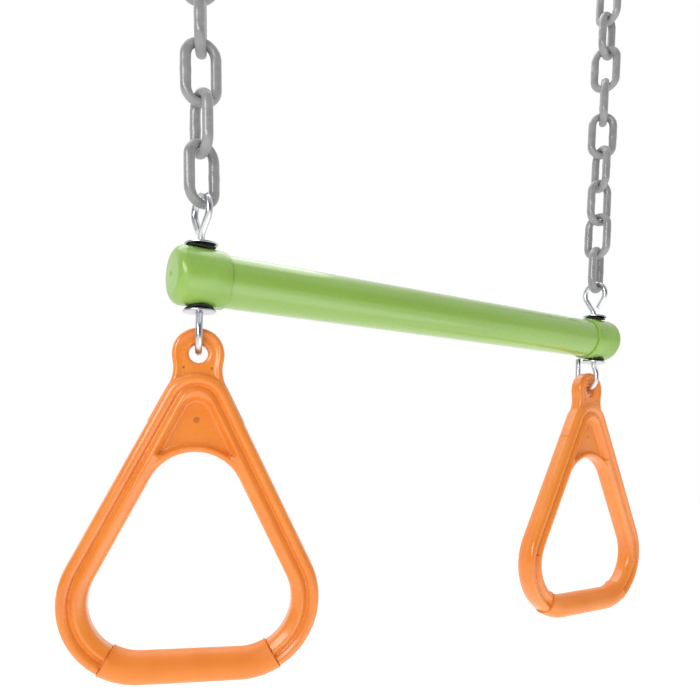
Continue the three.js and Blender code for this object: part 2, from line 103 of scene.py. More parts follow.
FLOOR_DROP = 1.1
FLOOR_HALF = 14.0
FLOOR_GLOW = 0.45
ROOM_WHITE = (1.0, 1.0, 1.0, 1)
ROOM_SEEN = 1.0  # as the eye sees it
ROOM_GLOW = 0.66  # as the swing is lit by it
ROOM_AHEAD = 0.36  # how much brighter it is behind the swing than to the side
ROOM_RISE = 0.06  # how much brighter it is overhead
SHADE_DEPTH = 0.62  # of the dark stretch of wall in front of the swing
SHADE_FOOT = (-0.08, 0.02)  # the rises of the line of sight between which the stretch comes in
SHADE_HEAD = (0.55, 0.68)  # and those between which it goes out
SHADE_EDGE = (0.0, 0.3)  # how far round from the side it comes in


class Value:
    """A number that changes over a surface, with sums on it written as plain sums."""

    def __init__(self, finish, socket):
        self.finish = finish
        self.socket = socket

    def math(self, operation, *others):
        return self.finish.math(operation, self, *others)

    def __add__(self, other):
        return self.math("ADD", other)

    def __sub__(self, other):
        return self.math("SUBTRACT", other)

    def __rsub__(self, other):
        return self.finish.math("SUBTRACT", other, self)

    def __mul__(self, other):
        return self.math("MULTIPLY", other)

    __radd__ = __add__
    __rmul__ = __mul__

    def limited(self):
        """The same number, kept from 0 to 1."""
        return self.finish.math("ADD", self, 0.0, clamp=True)


class Finish:
    """A material being put together: node() adds a node, and surface() sets the shader's sockets."""

    def __init__(self, name, made=None):
        self.material = made or bpy.data.materials.new(name)
        self.material.use_nodes = True
        self.tree = self.material.node_tree
        self.shader = self.tree.nodes["Background" if made else "Principled BSDF"]

    def put(self, socket, item):
        if isinstance(item, Value):
            self.tree.links.new(item.socket, socket)
        else:
            socket.default_value = item

    def node(self, kind, settings, sockets, output=0):
        """A new node: its settings first, then its sockets' values or links, by name or number."""
        node = self.tree.nodes.new("ShaderNode" + kind)
        for key, setting in settings.items():
            setattr(node, key, setting)
        for key, item in sockets.items():
            self.put(node.inputs[key], item)
        return Value(self, node.outputs[output])

    def math(self, operation, *numbers, clamp=False):
        return self.node("Math", {"operation": operation, "use_clamp": clamp}, dict(enumerate(numbers)))

    def stored(self, name, output):
        """What the piece's mesh holds under that name."""
        return self.node("Attribute", {"attribute_name": name}, {}, output)

    def noise(self, scale, detail, stretch=(1, 1, 1), spot=None):
        """Noise at each place of the object, or at the places given."""
        spot = spot or self.node("TexCoord", {}, {}, "Object")
        stretched = self.node("Mapping", {}, {"Vector": spot, "Scale": stretch})
        return self.node("TexNoise", {}, {"Vector": stretched, "Scale": scale, "Detail": detail})

    def parts(self, spot):
        """The three numbers of a place or direction."""
        return [self.node("SeparateXYZ", {}, {0: spot}, axis) for axis in range(3)]

    def ramp(self, value, low, high):
        """From 0 where the value is low or less to 1 where it is high or more."""
        return self.node("MapRange", {}, {"Value": value, "From Min": low, "From Max": high})

    def blend(self, share, first, second):
        """The first colour where the share is 0, and the second where it is 1."""
        return self.node("Mix", {"data_type": "RGBA"}, {0: share, 6: first, 7: second}, 2)

    def bump(self, height, strength, depth):
        return self.node("Bump", {}, {"Strength": strength, "Distance": depth, "Height": height})

    def surface(self, **sockets):
        for key, item in sockets.items():
            self.put(self.shader.inputs[key.replace("_", " ")], item)
        return self.material


def colour(hexcode):
    """A colour from its six-digit code, as linear light."""
    parts = [int(hexcode[i:i + 2], 16) / 255 for i in (0, 2, 4)]
    return tuple(p / 12.92 if p < 0.04045 else ((p + 0.055) / 1.055) ** 2.4 for p in parts) + (1.0,)


def mesh_piece(name, points, faces):
    mesh = bpy.data.meshes.new(name)
    mesh.from_pydata([tuple(p) for p in points], [], [tuple(f) for f in faces])
    mesh.validate()
    for polygon in mesh.polygons:
        polygon.use_smooth = True
    piece = bpy.data.objects.new(name, mesh)
    bpy.context.scene.collection.objects.link(piece)
    return piece


floor_height = cad_box[0][2] - FLOOR_DROP
corners = [(-1, -1), (1, -1), (1, 1), (-1, 1)]
floor_points = [(x * FLOOR_HALF, y * FLOOR_HALF, floor_height) for x, y in corners]
floor = mesh_piece("floor", floor_points, [(0, 1, 2, 3)])
paper = Finish("studio_paper")
paper.surface(
    Base_Color=colour("f4f4f3"), Roughness=0.9, Emission_Color=ROOM_WHITE, Emission_Strength=FLOOR_GLOW
)
floor.data.materials.append(paper.material)

room = Finish("room", bpy.data.worlds.new("room"))
east, north, rise = room.parts(room.node("TexCoord", {}, {}, "Generated"))
ahead = east * forward.x + north * forward.y
in_front = room.ramp(ahead * -1, *SHADE_EDGE)
shade = room.ramp(rise, *SHADE_FOOT) * (1 - room.ramp(rise, *SHADE_HEAD)) * in_front * SHADE_DEPTH
glow = (ROOM_GLOW + ahead * ROOM_AHEAD + rise * ROOM_RISE) * (1 - shade)
seen = room.node("LightPath", {}, {}, "Is Camera Ray")
room.surface(Color=ROOM_WHITE, Strength=glow * (1 - seen) + seen * ROOM_SEEN)
bpy.context.scene.world = room.material
bpy.context.scene.view_settings.view_transform = "Standard"

LAMPS = [  # name, place from the middle of the bar, width and height of the lamp, watts
    ("overhead", (-0.1, 0.5, 1.5), 1.8, 1.6, 15),
    ("left_window", (-1.5, -0.9, 0.5), 0.5, 1.6, 16),
    ("low_fill", (0.5, -1.2, -1.0), 1.4, 0.9, 4),
]
for name, place, wide, tall, watts in LAMPS:
    lamp = bpy.data.lights.new(name, "AREA")
    lamp.shape = "RECTANGLE"
    lamp.size = wide
    lamp.size_y = tall
    lamp.energy = watts
    holder = bpy.data.objects.new(name, lamp)
    holder.location = bar_middle + Vector(place)
    holder.rotation_euler = (-Vector(place)).to_track_quat("-Z", "Z").to_euler()
    bpy.context.scene.collection.objects.link(holder)


# ---- the bar ----
# A length of steel tube, powder coated green all over before the caps go on. The coat is even and
# semi-glossy, with the faint orange-peel of baked powder and a soft ripple where the tube was drawn.

TUBE_RADIUS = 17.5 * MM
TUBE_WALL = 1.6 * MM
TUBE_EDGE = 0.4 * MM
TUBE_STATIONS = 40
ROUND_STEPS = 96


def evenly(start, end, steps):
    """Numbers from one end to the other, with both ends."""
    return [start + (end - start) * i / steps for i in range(steps + 1)]


def turned(name, profile, steps=ROUND_STEPS):
    """A ring of the profile's (distance along, radius) points, turned about X."""
    points = []
    for i in range(steps):
        angle = 2 * math.pi * i / steps
        points += [(x, r * math.cos(angle), r * math.sin(angle)) for x, r in profile]
    count = len(profile)
    faces = []
    for i in range(steps):
        here, there = i * count, ((i + 1) % steps) * count
        for j in range(count):
            k = (j + 1) % count
            faces.append((here + j, here + k, there + k, there + j))
    return mesh_piece(name, points, faces)


def arc(centre, radius, start, end, steps):
    """Points of an arc, as (along, radius) pairs, from one angle in degrees to another."""
    angles = [math.radians(angle) for angle in evenly(start, end, steps)]
    return [(centre[0] + radius * math.cos(a), centre[1] + radius * math.sin(a)) for a in angles]


def shine_edges(piece, angle=40):
    """Smooth shading, but with edges sharper than the angle kept crisp."""
    bm = bmesh.new()
    bm.from_mesh(piece.data)
    bmesh.ops.recalc_face_normals(bm, faces=bm.faces)
    for edge in bm.edges:
        edge.smooth = not (edge.is_manifold and edge.calc_face_angle(0) > math.radians(angle))
    bm.to_mesh(piece.data)
    bm.free()
    return piece


tube_low, tube_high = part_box("bar_tube")
tube_half = (tube_high.x - tube_low.x) / 2
edge_place = tube_half - TUBE_EDGE
tube_profile = [
    (-tube_half, TUBE_RADIUS - TUBE_WALL),
    (-tube_half, TUBE_RADIUS - TUBE_EDGE),
    *[(x, TUBE_RADIUS) for x in evenly(-edge_place, edge_place, TUBE_STATIONS)],
    (tube_half, TUBE_RADIUS - TUBE_EDGE),
    (tube_half, TUBE_RADIUS - TUBE_WALL),
]
bar = turned("trapeze_bar", tube_profile)
bar.data.transform(Matrix.Translation(bar_middle))
shine_edges(bar)

powder = Finish("green_powder_coat")
peel = powder.noise(900, 3)
ripple = powder.noise(28, 2, (0.25, 1, 1))
powder.surface(
    Base_Color=powder.blend(powder.ramp(ripple, 0.3, 0.7), colour("84ac45"), colour("8eb650")),
    Roughness=powder.ramp(powder.noise(160, 4), 0.2, 0.8) * 0.1 + 0.24,
    Coat_Weight=0.8,
    Coat_Roughness=0.08,
    Normal=powder.bump(peel * 0.7 + ripple * 0.6, 0.12, 0.0004),
)
bar.data.materials.append(powder.material)
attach(bar, "bar")
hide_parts("bar_tube")


# ---- the end caps ----
# Soft vinyl caps, moulded in a slightly yellower green, pushed over both ends of the tube. The closed end
# has a large rounded edge and a gate dimple. A washer on each rod presses a flat seat into the vinyl.

ROD_INSET = 19.5 * MM
CAP_RADIUS = 19.4 * MM
CAP_BORE = 17.6 * MM
CAP_LENGTH = 35 * MM
CAP_END_WALL = 4 * MM
CAP_STANDOFF = 0.3 * MM  # left between the closed end and the tube
CAP_CORNER = 7.2 * MM
CAP_DOME = 0.5 * MM
RIM_TAPER = 4 * MM
RIM_THIN = 0.5 * MM
RIM_ROUND = 0.45 * MM
DIMPLE = 1.9 * MM
SEAT_RADIUS = 11.8 * MM
SEAT_EDGE = 1.4 * MM
SEAT_HEIGHT = 18.6 * MM
SIDE_STATIONS = 34

corner = (CAP_CORNER + CAP_DOME, CAP_RADIUS - CAP_CORNER)
side_end = CAP_LENGTH - RIM_TAPER
cap_profile = [
    (0.8 * DIMPLE, 0),
    (0.75 * DIMPLE, 0.35 * DIMPLE),
    (0.55 * DIMPLE, 0.7 * DIMPLE),
    (0.22 * DIMPLE, 0.95 * DIMPLE),
    (0.05 * MM, 1.15 * DIMPLE),
    (0.02 * MM, 1.6 * DIMPLE),
    (0.35 * CAP_DOME, 0.35 * CAP_RADIUS),
    *arc(corner, CAP_CORNER, 186, 90, 14),
    *[(x, CAP_RADIUS) for x in evenly(corner[0], side_end, SIDE_STATIONS)[1:]],
    *arc((CAP_LENGTH - RIM_ROUND, CAP_RADIUS - RIM_THIN - RIM_ROUND), RIM_ROUND, 90, 0, 4),
    (CAP_LENGTH, CAP_BORE),
    (CAP_END_WALL, CAP_BORE),
    (CAP_END_WALL, 0),
]

vinyl = Finish("green_cap_vinyl")
vinyl.surface(
    Base_Color=vinyl.blend(vinyl.ramp(vinyl.noise(55, 4), 0.3, 0.75), colour("84ad47"), colour("92ba56")),
    Roughness=vinyl.ramp(vinyl.noise(80, 3), 0.25, 0.8) * 0.14 + 0.2,
    Coat_Weight=0.3,
    Coat_Roughness=0.15,
    Normal=vinyl.bump(vinyl.noise(190, 3), 0.12, 0.0006),
)

SIDES = {"left": -1, "right": 1}
rod_place = {}
for label, side in SIDES.items():
    cap_end = bar_middle.x + side * (tube_half + CAP_END_WALL + CAP_STANDOFF)
    rod_place[label] = Vector((cap_end - side * ROD_INSET, bar_middle.y, bar_middle.z))
    cap = turned(label + "_cap", cap_profile)
    for vertex in cap.data.vertices:
        across = math.hypot(vertex.co.x - ROD_INSET, vertex.co.y)
        outside = math.hypot(vertex.co.y, vertex.co.z) > 0.5 * (CAP_BORE + CAP_RADIUS)
        if outside and abs(vertex.co.z) > SEAT_HEIGHT and across < SEAT_RADIUS + SEAT_EDGE:
            share = min(1, (SEAT_RADIUS + SEAT_EDGE - across) / SEAT_EDGE)
            flat = math.copysign(SEAT_HEIGHT, vertex.co.z)
            vertex.co.z += (flat - vertex.co.z) * share * share * (3 - 2 * share)
    turn = Matrix.Rotation(math.pi, 4, "Z") if side > 0 else Matrix.Identity(4)
    cap.data.transform(Matrix.Translation((cap_end, bar_middle.y, bar_middle.z)) @ turn)
    bm = bmesh.new()
    bm.from_mesh(cap.data)
    bmesh.ops.remove_doubles(bm, verts=bm.verts, dist=1e-6)
    bm.to_mesh(cap.data)
    bm.free()
    shine_edges(cap, 50)
    cap.data.materials.append(vinyl.material)
    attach(cap, "bar")
    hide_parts(label + "_end_cap")


# ---- rubber washers and zinc washers ----
# Each rod is packed with a black rubber washer against the cap, drooping over its round, and a zinc-plated
# steel washer outside that. The steel ones are stamped, so their edges are a little rounded.

WIRE = 2.4 * MM
PAD_RADIUS = 9.8 * MM
PAD_THICK = 1.5 * MM
PAD_HEIGHT = 20.8 * MM
PAD_DROOP = 1 / (46 * MM)
PAD_ROUND = 0.9 * MM
WASHER_RADIUS = 11 * MM
WASHER_THICK = 1.2 * MM
WASHER_HEIGHT = 22.3 * MM
WASHER_DISH = 0.35 * MM
WASHER_TILT = math.radians(2.5)
STAMP_ROUND = 0.3 * MM
WASHER_PLAY = 0.3 * MM  # round the wire
WASHER_STEPS = 72

rubber = Finish("black_rubber")
dust = rubber.ramp(rubber.noise(300, 3), 0.3, 0.8)
rubber.surface(
    Base_Color=rubber.blend(dust, colour("141415"), colour("2b2b2d")),
    Roughness=rubber.ramp(rubber.noise(500, 2), 0.2, 0.8) * 0.2 + 0.55,
    Normal=rubber.bump(rubber.noise(1400, 3), 0.25, 0.0003),
)

zinc = Finish("bright_zinc")
drawn = zinc.noise(320, 3, (1, 1, 0.06))
bloom = zinc.noise(60, 4)
zinc.surface(
    Base_Color=zinc.blend(zinc.ramp(bloom, 0.35, 0.7), colour("c3c7cc"), colour("e2e3e4")),
    Metallic=1.0,
    Roughness=zinc.ramp(bloom, 0.3, 0.8) * 0.16 + 0.2,
    Normal=zinc.bump(drawn + zinc.noise(1500, 2) * 0.3, 0.12, 0.0002),
)


def flat_ring(name, outer, hole, thick, round_edge):
    """A washer about Z, its edges rounded, its middle at the origin."""
    half = thick / 2
    middle = half - round_edge
    radii = evenly(hole, outer - round_edge, 8)
    profile = [
        *[(-half, r) for r in radii],
        *arc((-middle, outer - round_edge), round_edge, 180, 90, 4)[1:],
        *arc((middle, outer - round_edge), round_edge, 90, 0, 4)[:-1],
        *[(half, r) for r in reversed(radii)],
    ]
    ring = turned(name, profile, WASHER_STEPS)
    ring.data.transform(Matrix.Rotation(-math.pi / 2, 4, "Y"))
    return ring


for label, side in SIDES.items():
    for where, up in (("top", 1), ("bottom", -1)):
        stack = f"{label}_{where}_"
        pad = flat_ring(stack + "rubber", PAD_RADIUS, WIRE, PAD_THICK, PAD_ROUND)
        for vertex in pad.data.vertices:
            vertex.co.z += PAD_HEIGHT - PAD_DROOP * vertex.co.y ** 2
        hole = WIRE + WASHER_PLAY
        washer = flat_ring(stack + "steel_washer", WASHER_RADIUS, hole, WASHER_THICK, STAMP_ROUND)
        for vertex in washer.data.vertices:
            out = math.hypot(vertex.co.x, vertex.co.y) / WASHER_RADIUS
            vertex.co.z -= WASHER_DISH * out ** 2
        washer.data.transform(Matrix.Rotation(side * up * WASHER_TILT, 4, "Y"))
        washer.data.transform(Matrix.Translation((0, 0, WASHER_HEIGHT)))
        flip = Matrix.Identity(4) if up > 0 else Matrix.Rotation(math.pi, 4, "X")
        for piece, finish, node, slot in (
            (pad, rubber, "pad", "black_rubber"),
            (washer, zinc, "washer", "zinc"),
        ):
            piece.data.transform(Matrix.Translation(rod_place[label]) @ flip)
            shine_edges(piece, 50)
            piece.data.materials.append(finish.material)
            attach(piece, "bar")
            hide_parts(stack + node)


# ---- the formed rods ----
# One zinc-plated wire at each end: bent into a teardrop eye above, straight down through cap and tube, and
# round into an open hook below. The eye's cut end stands behind the shank on the left, in front on the right.

EYE_RADIUS = 10.2 * MM
EYE_TOP = 54.3 * MM
EYE_END_GAP = 7 * MM
EYE_TURN = math.radians(8)
NECK_TOP = 25.2 * MM
HOOK_RADIUS = 10.4 * MM
HOOK_SET = 3.4 * MM
HOOK_NECK = -24.7 * MM
HOOK_SET_FOOT = -32.2 * MM
HOOK_MIDDLE = -37.4 * MM
HOOK_TIP = 20 * MM
WIRE_BEND = 5 * MM
CUT_END = 0.3  # a cut end's rounding, as a share of the wire's radius
CUT_FLAT = 0.72  # and how much of that radius its flat keeps
HOOK_TURNS = {"left": math.radians(-19), "right": math.radians(2)}


def softened(points, reach):
    """The same path with each corner turned into a short curve, starting that far from the corner."""
    path = [points[0]]
    for before, here, after in zip(points, points[1:], points[2:]):
        into, out = before - here, after - here
        near = min(reach, 0.48 * into.length, 0.48 * out.length)
        start, end = here + into.normalized() * near, here + out.normalized() * near
        straight = into.normalized().dot(out.normalized()) < -0.995
        for i in range(1 if straight else 7):
            t = 0.5 if straight else i / 6
            path.append(here if straight else start.lerp(here, t).lerp(here.lerp(end, t), t))
    return path + [points[-1]]


def wire(name, path, radius, sides=24, closed=False, shape=None):
    """A round wire swept along a path. shape, if given, returns each section's two half widths."""
    count = len(path)
    tangents = []
    for i in range(count):
        after = path[(i + 1) % count] if closed or i < count - 1 else path[i]
        before = path[i - 1] if closed or i > 0 else path[i]
        tangents.append((after - before).normalized())
    normal = tangents[0].orthogonal().normalized() if shape is None else Vector((0, 1, 0))
    points, faces = [], []
    rings = [(path[i], tangents[i], 1.0) for i in range(count)]
    if not closed:
        rings.insert(0, (path[0] - tangents[0] * CUT_END * radius, tangents[0], CUT_FLAT))
        rings.append((path[-1] + tangents[-1] * CUT_END * radius, tangents[-1], CUT_FLAT))
    for i, (centre, tangent, share) in enumerate(rings):
        normal = (normal - tangent * normal.dot(tangent)).normalized()
        wide, thick = shape(centre) if shape else (radius, radius)
        across, through = tangent.cross(normal) * wide, normal * thick
        for j in range(sides):
            angle = 2 * math.pi * j / sides
            points.append(centre + share * (across * math.cos(angle) + through * math.sin(angle)))
    total = len(rings)
    for i in range(total if closed else total - 1):
        here, there = i * sides, ((i + 1) % total) * sides
        for j in range(sides):
            k = (j + 1) % sides
            faces.append((here + j, here + k, there + k, there + j))
    if not closed:
        faces.append(tuple(range(sides))[::-1])
        faces.append(tuple((total - 1) * sides + j for j in range(sides)))
    return mesh_piece(name, points, faces)


def bend_points(middle, radius, start, end, steps):
    """Points round a bend in the Y-Z plane."""
    return [Vector((0, *p)) for p in arc(middle, radius, start, end, steps)]


for label, side in SIDES.items():
    behind = -side  # where the eye's cut end stands
    eye_middle = EYE_TOP - EYE_RADIUS
    lean = math.asin(EYE_RADIUS / (eye_middle - NECK_TOP))
    cut_end = Vector((0, EYE_END_GAP * math.sin(lean), NECK_TOP + EYE_END_GAP * math.cos(lean)))
    tilt = math.degrees(lean)
    eye = [cut_end, *bend_points((0, eye_middle), EYE_RADIUS, -tilt, 180 + tilt, 40)]
    eye = [Matrix.Rotation(EYE_TURN, 3, "Z") @ Vector((0, behind * p.y, p.z)) for p in eye]
    hook_back = HOOK_RADIUS - HOOK_SET
    hook = [
        *softened([
            eye[-1],
            Vector((0, 0, NECK_TOP)),
            Vector((0, 0, 0)),
            Vector((0, 0, HOOK_NECK)),
            Vector((0, -HOOK_SET, HOOK_SET_FOOT)),
            Vector((0, -HOOK_SET, HOOK_MIDDLE)),
        ], WIRE_BEND)[1:-1],
        *bend_points((hook_back, HOOK_MIDDLE), HOOK_RADIUS, 180, 360, 32),
        Vector((0, hook_back + HOOK_RADIUS, HOOK_MIDDLE + HOOK_TIP)),
    ]
    hook = [Matrix.Rotation(HOOK_TURNS[label], 3, "Z") @ p for p in hook]
    rod = wire(label + "_formed_rod", eye + hook, WIRE)
    rod.data.transform(Matrix.Translation(rod_place[label]))
    shine_edges(rod, 35)
    rod.data.materials.append(zinc.material)
    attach(rod, label + "_rod")
    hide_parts(label + "_rod")


# ---- the gym rings ----
# Each triangular ring is one thick moulding in orange polyethylene. Both faces of its legs carry a rounded
# outer bead, a valley and a ridge. At the top a recessed web with a lip joins the legs under a pierced lug.

# In millimetres, with heights from the middle of the lug's hole. A melt is how wide two surfaces flow into
# each other where they meet.
LEG_HALF = 9.5
LEG_EDGE_MELT = 1.6
LEG_INSIDE_MELT = 3.4
BEND = 43.5  # of the middle of a leg round a bottom corner
BEND_X = 32.0
BEND_Z = -164.0
LEG_ANGLE = math.radians(27)
ARCH_TOP = -12.5  # where the legs' thick part begins
BEAD_IN = 4.4  # from the leg's outer edge
BEAD_BASE = 4.8
BEAD_ROUND = 4.0
RIDGE_IN = 12.6
RIDGE_HEIGHT = 9.0
RIDGE_ROUND = 0.7
RIDGE_MELT = 1.2
VALLEY_SLOPE = 0.9
INNER_SLOPE = 0.5
RECESS_OFF = -6.0
RECESS_TOP = -30.6
RECESS_SLOPE = 1.9
RECESS_EDGE = 0.9  # how far inside its line the wall starts to climb
RECESS_MELT = 1.6
RECESS_FOOT = -66.0
WEB_HALF = 3.0
WEB_FOOT = -65.3
LIP_WIDTH = 3.4
LIP_HEIGHT = 6.9
LIP_SLOPE = 1.7
LIP_BESIDE = 3.0  # how far it reaches past the recess
LIP_MELT = 1.4
LIP_FADE = 3.0  # it is this much lower, and so gone, on the legs
LIP_FADE_FOOT = -100.0
LIP_FADE_HEIGHT = 32.0
LUG = 17.0
LUG_FACE = 5.3
LUG_EDGE_MELT = 2.4
LUG_RIM = 0.9
LUG_RIM_IN = 2.5
LUG_RIM_WIDTH = 1.7
LUG_FOOT = -45.0
LUG_OFF_RECESS = 4.0  # how far outside the recess it begins
LUG_MELT = 1.6
NECK_HALF = 16.0
NECK_FOOT = -26.0
NECK_MELT = 2.0
SHOULDER_TOP = -11.0
SHOULDER_MELT = 3.0
LUG_HOLE = 6.2
HOLE_FLARE = 2.2
GRIP_WRAP = math.radians(31.2)
CORE = 8.4
CORE_OVERLAP = 0.3
NET = 0.95  # spacing of the mesh
RING_LOW = (-87, -10.5, -219)
RING_HIGH = (87, 10.5, 19)

sine, cosine = math.sin(LEG_ANGLE), math.cos(LEG_ANGLE)


def soft_max(a, b, reach):
    """The greater of two fields, rounded over where they are nearly equal."""
    close = np.maximum(reach - np.abs(a - b), 0) / reach
    return np.maximum(a, b) + close * close * reach / 4


def soft_min(a, b, reach):
    return -soft_max(-a, -b, reach)


def beyond_legs(u, z, offset, top):
    """Distance outside the line that runs along both legs at an offset, and over in an arc at the top."""
    s = np.abs(u)
    apex = BEND_Z + (BEND + offset + BEND_X * cosine) / sine
    radius = (apex - top) * sine / (1 - sine)
    middle = top - radius
    wx, wz = s - BEND_X, z - BEND_Z
    along = wz * cosine - wx * sine
    straight = wx * cosine + wz * sine - BEND
    bend = np.hypot(wx, wz) - BEND
    q = np.where(along > 0, straight, np.where(wx < 0, -wz - BEND, bend)) - offset
    return np.where((z - middle) * cosine > s * sine, np.hypot(s, z - middle) - radius, q)


def ring_field(u, v, z):
    """Below zero inside a ring: across, through and up from its lug's hole, in millimetres."""
    s, depth = np.abs(u), np.abs(v)
    wx, wz = s - BEND_X, z - BEND_Z
    out = beyond_legs(u, z, LEG_HALF, ARCH_TOP)
    hollow = beyond_legs(u, z, -LEG_HALF, WEB_FOOT)
    recess = beyond_legs(u, z, RECESS_OFF, RECESS_TOP)
    inward = -out

    bead = BEAD_BASE + np.sqrt(np.maximum(BEAD_ROUND ** 2 - (inward - BEAD_IN) ** 2, 0))
    off = inward - RIDGE_IN
    slope = np.where(off > 0, INNER_SLOPE, VALLEY_SLOPE)
    ridge = RIDGE_HEIGHT - slope * (np.sqrt(off ** 2 + RIDGE_ROUND ** 2) - RIDGE_ROUND)
    into_web = np.maximum(recess + RECESS_EDGE, 0) + np.maximum(RECESS_FOOT - z, 0)
    half = soft_min(soft_max(bead, ridge, RIDGE_MELT), WEB_HALF + RECESS_SLOPE * into_web, RECESS_MELT)
    webbed = np.clip((z - LIP_FADE_FOOT) / LIP_FADE_HEIGHT, 0, 1)
    webbed = webbed * webbed * (3 - 2 * webbed)
    lip = LIP_HEIGHT - LIP_SLOPE * np.maximum(hollow - LIP_WIDTH, 0) - LIP_FADE * (1 - webbed)
    half = soft_max(half, np.where(recess < LIP_BESIDE, lip, 0), LIP_MELT)
    legs = soft_max(soft_max(depth - half, out, LEG_EDGE_MELT), -hollow, LEG_INSIDE_MELT)

    radius = np.hypot(u, z)
    neck = np.maximum(s - NECK_HALF, np.maximum(NECK_FOOT - z, z))
    sides = np.maximum(wx * cosine + wz * sine - BEND - LEG_HALF, z - SHOULDER_TOP)
    outline = soft_min(soft_min(radius - LUG, neck, NECK_MELT), sides, SHOULDER_MELT)
    face = LUG_FACE + LUG_RIM * np.exp(-((-outline - LUG_RIM_IN) / LUG_RIM_WIDTH) ** 2)
    lug = soft_max(depth - face, outline, LUG_EDGE_MELT)
    lug = np.maximum(lug, np.maximum(LUG_OFF_RECESS - recess, LUG_FOOT - z))
    body = soft_min(legs, lug, LUG_MELT)

    sink = np.clip(depth - (LUG_FACE - HOLE_FLARE), 0, HOLE_FLARE)
    hole = LUG_HOLE + HOLE_FLARE - np.sqrt(HOLE_FLARE ** 2 - sink ** 2)
    body = np.maximum(body, hole - radius)

    turn = GRIP_WRAP - math.pi / 2
    under_grip = wx * math.sin(turn) - wz * math.cos(turn)
    core = np.maximum(np.hypot(out + LEG_HALF, v) - CORE, -under_grip - CORE_OVERLAP)
    return np.minimum(np.maximum(body, under_grip), core)


def netted(field, low, high, step):
    """A closed mesh of quads over the surface where a field is zero."""
    axes = [np.arange(a, b + step, step) for a, b in zip(low, high)]
    values = field(*np.meshgrid(*axes, indexing="ij"))
    inside = values < 0
    total = np.zeros(tuple(n - 1 for n in values.shape) + (3,))
    count = np.zeros(total.shape[:3])
    quads = []
    for axis in range(3):
        lower = [slice(None)] * 3
        upper = [slice(None)] * 3
        lower[axis], upper[axis] = slice(0, -1), slice(1, None)
        a, b = values[tuple(lower)], values[tuple(upper)]
        crossing = np.argwhere((a < 0) != (b < 0))
        at = tuple(crossing.T)
        spot = crossing.astype(float)
        spot[:, axis] += a[at] / (a[at] - b[at])
        one, two = (axis + 1) % 3, (axis + 2) % 3
        cells = []
        for back_one, back_two in ((0, 0), (1, 0), (1, 1), (0, 1)):
            cell = crossing.copy()
            cell[:, one] -= back_one
            cell[:, two] -= back_two
            np.add.at(total, tuple(cell.T), spot)
            np.add.at(count, tuple(cell.T), 1)
            cells.append(cell)
        quads.append((cells, inside[tuple(lower)][at]))
    number = np.full(count.shape, -1)
    used = count > 0
    number[used] = np.arange(used.sum())
    points = np.array(low) + step * total[used] / count[used][:, None]
    faces = []
    for cells, outward in quads:
        face = np.stack([number[tuple(cell.T)] for cell in cells], 1)
        face[~outward] = face[~outward][:, ::-1]
        faces.append(face)
    return points, np.concatenate(faces)


def settled(field, points, rounds=4, reach=0.12, most=0.5):
    """Points moved on to the surface itself."""
    for _ in range(rounds):
        slope = np.zeros_like(points)
        for axis in range(3):
            shift = np.zeros(3)
            shift[axis] = reach
            ahead, behind = points + shift, points - shift
            slope[:, axis] = (field(*ahead.T) - field(*behind.T)) / (2 * reach)
        value = field(*points.T)
        move = -value[:, None] * slope / np.maximum((slope ** 2).sum(1), 0.05)[:, None]
        size = np.linalg.norm(move, axis=1)[:, None]
        points = points + move * np.minimum(1, most / np.maximum(size, 1e-9))
    return points


ring_points, ring_faces = netted(ring_field, RING_LOW, RING_HIGH, NET)
ring_points = settled(ring_field, ring_points)

# What the mould leaves: where the plastic went in and where pins pushed the ring out, and the
# line where the mould's halves met. Grain and these traces keep to the ring's own places, stored in its mesh.
# The pin dents are painted dark at their middles. This is painted shade in pits that the mesh is too coarse
# to hold. The gate's ring and pip, and the parting line, are painted darker as well.
GATE_UP = -44.0
GATE_RADIUS = 1.4
GATE_LINE = 1.2
# How dark the painted shade in a pin dent is at its middle, and how fast it fades outwards.
PIN_SHADE = 1.7  # at its middle
PIN_FADE = 1.3
LUG_PIN = (9.0, -9.6)
WEB_PINS = ((0.0, -37.0), (0.0, -45.5))
CORNER_PIN = (74.0, -155.0)
SEAM_FADE = 5.0


def far_from(across, up, u, z):
    """Distance from a mark's middle, over a face."""
    aside, over = across - u, up - z
    return (aside * aside + over * over).math("SQRT")


plastic = Finish("orange_ring_plastic")
spot = plastic.stored("ring_place", "Vector")
across, through, up = plastic.parts(spot)
either_side = across.math("ABSOLUTE")
front = through.math("LESS_THAN", 0.0)
cloud = plastic.noise(0.03, 3, spot=spot)
grain = plastic.noise(1.6, 3, spot=spot)
scuff = plastic.noise(1.0, 6, (0.04, 0.1, 0.12), spot)
gate = far_from(either_side, up, 0.0, GATE_UP)
gate_line = (GATE_LINE - gate.math("SUBTRACT", GATE_RADIUS).math("ABSOLUTE")).limited()
gate_pip = (GATE_LINE - gate * GATE_LINE).limited()
web_pin = far_from(across, up, *WEB_PINS[0]).math("MINIMUM", far_from(across, up, *WEB_PINS[1]))
# Each pin dent gets painted shade, darkest at its middle.
lug_pin_shaded, back_pin_shaded, corner_pin_shaded = [
    (PIN_SHADE - distance * PIN_FADE).limited()
    for distance in (far_from(either_side, up, *LUG_PIN), web_pin, far_from(either_side, up, *CORNER_PIN))
]
seam = (1 - through.math("ABSOLUTE") * SEAM_FADE).limited()
front_marks = (gate_line * 0.8 + gate_pip * 0.5) * front
back_pins_shaded = (back_pin_shaded + corner_pin_shaded) * (1 - front)
# One share: painted shade in the pin dents, plus the darker gate and parting line.
marks_and_pin_shade = front_marks + lug_pin_shaded + back_pins_shaded + seam * 0.35
